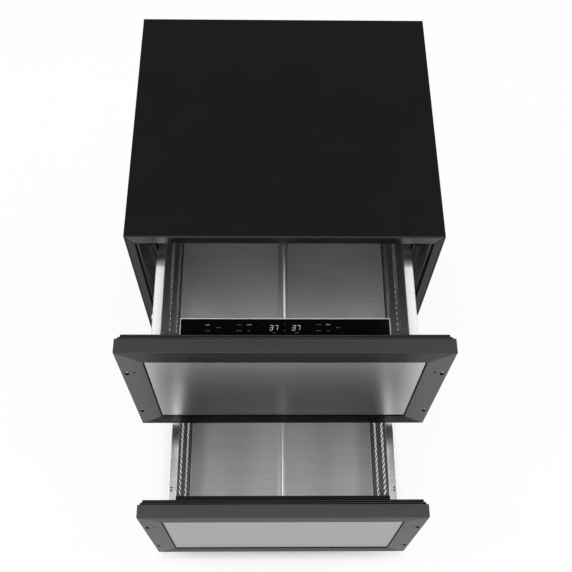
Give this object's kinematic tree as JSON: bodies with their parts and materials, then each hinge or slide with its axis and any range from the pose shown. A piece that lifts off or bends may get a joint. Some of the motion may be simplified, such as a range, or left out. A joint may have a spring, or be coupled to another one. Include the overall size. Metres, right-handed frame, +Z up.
{
  "type": "undercounter drawer refrigerator",
  "caption": "Undercounter refrigerator with insulated pull-out drawers: black steel cabinet, panel-ready framed fronts, steel bins on full-extension slides and a glass touch panel.",
  "frame": {"origin": "on the floor, under the middle of the whole as it stands: midway between the lower drawer's face and the cabinet's back", "axes": "+X to the right of someone facing the drawers, +Y to the back, +Z up"},
  "size_m": [0.606, 0.981, 0.87],
  "materials": {
    "case_black": "matte",
    "face_frame_charcoal": "matte",
    "front_charcoal": "matte",
    "galvanised_steel": "satin",
    "insulation_foam": "matte",
    "foamed_front": "satin",
    "foamed_partition": "matte",
    "liner_grey": "matte",
    "black_plastic": "satin",
    "compressor_black": "satin",
    "fin_aluminium": "satin",
    "fan_grey": "satin",
    "foot_plastic": "satin",
    "panel_silver": "satin",
    "bin_steel": "satin",
    "gasket_rubber": "matte",
    "slide_zinc": "satin",
    "bracket_black": "satin",
    "bezel_silver": "satin",
    "black_glass": "gloss"
  },
  "bodies": {
    "cabinet": {"cabinet_casing": "case_black", "back_panel": "galvanised_steel", "underfloor_panel": "galvanised_steel", "foam_insulation": "insulation_foam", "inner_liner": "liner_grey", "face_frame_top_rail": "face_frame_charcoal", "face_frame_bottom_rail": "face_frame_charcoal", "face_frame_left_stile": "face_frame_charcoal", "face_frame_right_stile": "face_frame_charcoal", "mullion_bar": "face_frame_charcoal", "compartment_partition": "foamed_partition", "base_pan": "galvanised_steel", "toe_grille": "black_plastic", "rear_cover": "galvanised_steel", "power_inlet": "black_plastic", "control_module": "black_plastic", "compressor": "compressor_black", "condenser_coil": "fin_aluminium", "condenser_fan_mount": "fan_grey", "evaporator_cover": "liner_grey", "evaporator_coil": "fin_aluminium", "evaporator_fan_motor": "fan_grey", "upper_left_cabinet_slide": "slide_zinc", "upper_left_slide_bracket": "bracket_black", "upper_right_cabinet_slide": "slide_zinc", "upper_right_slide_bracket": "bracket_black", "lower_left_cabinet_slide": "slide_zinc", "lower_left_slide_bracket": "bracket_black", "lower_right_cabinet_slide": "slide_zinc", "lower_right_slide_bracket": "bracket_black"},
    "evaporator_fan": {"evaporator_fan": "black_plastic"},
    "condenser_fan": {"condenser_fan": "black_plastic"},
    "upper_drawer": {"upper_front_frame": "front_charcoal", "upper_front_panel": "panel_silver", "upper_front_core": "foamed_front", "upper_gasket": "gasket_rubber", "upper_bin": "bin_steel", "upper_divider": "bin_steel", "upper_left_drawer_slide": "slide_zinc", "upper_right_drawer_slide": "slide_zinc", "control_housing": "black_plastic", "control_bezel": "bezel_silver", "control_glass": "black_glass"},
    "upper_middle_slides": {"upper_left_middle_slide": "slide_zinc", "upper_right_middle_slide": "slide_zinc"},
    "lower_drawer": {"lower_front_frame": "front_charcoal", "lower_front_panel": "panel_silver", "lower_front_core": "foamed_front", "lower_gasket": "gasket_rubber", "lower_bin": "bin_steel", "lower_divider": "bin_steel", "lower_left_drawer_slide": "slide_zinc", "lower_right_drawer_slide": "slide_zinc", "lower_bin_trim": "black_plastic"},
    "lower_middle_slides": {"lower_left_middle_slide": "slide_zinc", "lower_right_middle_slide": "slide_zinc"},
    "foot_front_left": {"foot_front_left": "foot_plastic"},
    "foot_front_right": {"foot_front_right": "foot_plastic"},
    "foot_back_left": {"foot_back_left": "foot_plastic"},
    "foot_back_right": {"foot_back_right": "foot_plastic"}
  },
  "joints": [
    {"name": "upper_drawer_slide", "type": "slide", "parent": "cabinet", "child": "upper_drawer", "axis": [0, -1, 0], "range_m": [-0.1935, 0.2465]},
    {"name": "upper_middle_slide", "type": "slide", "parent": "cabinet", "child": "upper_middle_slides", "axis": [0, -1, 0], "range_m": [-0.09675, 0.12325]},
    {"name": "lower_drawer_slide", "type": "slide", "parent": "cabinet", "child": "lower_drawer", "axis": [0, -1, 0], "range_m": [-0.3945, 0.0455]},
    {"name": "lower_middle_slide", "type": "slide", "parent": "cabinet", "child": "lower_middle_slides", "axis": [0, -1, 0], "range_m": [-0.19725, 0.02275]},
    {"name": "evaporator_fan_spin", "type": "hinge", "parent": "cabinet", "child": "evaporator_fan", "pos_m": [0, 0.4219, 0.771], "axis": [0, 1, 0], "continuous": true},
    {"name": "condenser_fan_spin", "type": "hinge", "parent": "cabinet", "child": "condenser_fan", "pos_m": [0.1107, 0.41625, 0.11075], "axis": [1, 0, 0], "continuous": true},
    {"name": "foot_front_left_screw", "type": "slide", "parent": "cabinet", "child": "foot_front_left", "axis": [0, 0, -1], "range_m": [0, 0.019]},
    {"name": "foot_front_right_screw", "type": "slide", "parent": "cabinet", "child": "foot_front_right", "axis": [0, 0, -1], "range_m": [0, 0.019]},
    {"name": "foot_back_left_screw", "type": "slide", "parent": "cabinet", "child": "foot_back_left", "axis": [0, 0, -1], "range_m": [0, 0.019]},
    {"name": "foot_back_right_screw", "type": "slide", "parent": "cabinet", "child": "foot_back_right", "axis": [0, 0, -1], "range_m": [0, 0.019]}
  ],
  "couplings": [
    {"joint": "upper_middle_slide", "follows": "upper_drawer_slide", "ratio": 0.5},
    {"joint": "lower_middle_slide", "follows": "lower_drawer_slide", "ratio": 0.5}
  ]
}
